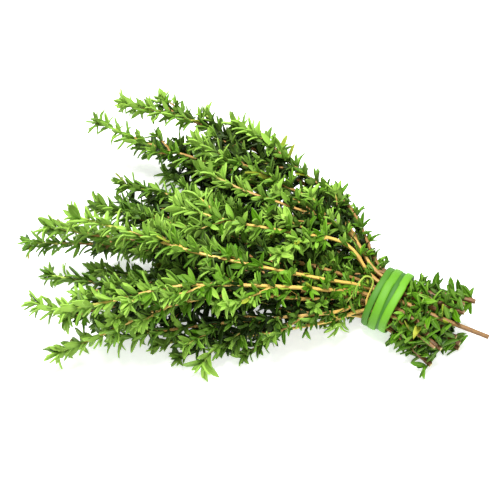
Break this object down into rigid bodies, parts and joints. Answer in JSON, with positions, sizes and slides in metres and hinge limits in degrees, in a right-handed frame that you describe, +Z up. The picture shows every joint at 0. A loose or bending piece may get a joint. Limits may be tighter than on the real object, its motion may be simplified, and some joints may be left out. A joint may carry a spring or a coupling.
{
  "type": "thyme bundle",
  "caption": "Bunch of leafy thyme sprigs fanned out flat, their stems held together near the cut ends by a green elastic band wound round them.",
  "frame": {"origin": "on the surface that the bunch lies on, under the middle of its bounding box", "axes": "+X towards the cut ends, -X towards the leafy tips, +Y to the back of the fan, +Z up"},
  "size_m": [0.2112, 0.1406, 0.0523],
  "materials": {
    "sprig": "satin leaves on woody stems",
    "band": "smooth, slightly glossy"
  },
  "bodies": {
    "root": {"sprig_01": "sprig", "sprig_02": "sprig", "sprig_03": "sprig", "sprig_04": "sprig", "sprig_05": "sprig", "sprig_06": "sprig", "sprig_07": "sprig", "sprig_08": "sprig", "sprig_09": "sprig", "sprig_10": "sprig", "sprig_11": "sprig", "sprig_12": "sprig", "sprig_13": "sprig", "sprig_14": "sprig", "sprig_15": "sprig", "sprig_16": "sprig", "sprig_17": "sprig", "sprig_18": "sprig", "sprig_19": "sprig", "sprig_20": "sprig", "sprig_21": "sprig", "sprig_22": "sprig", "sprig_23": "sprig", "sprig_24": "sprig", "sprig_25": "sprig", "sprig_26": "sprig", "sprig_27": "sprig", "sprig_28": "sprig", "sprig_29": "sprig", "sprig_30": "sprig", "sprig_31": "sprig", "sprig_32": "sprig", "sprig_33": "sprig", "sprig_34": "sprig", "tie_band": "band"}
  },
  "joints": []
}
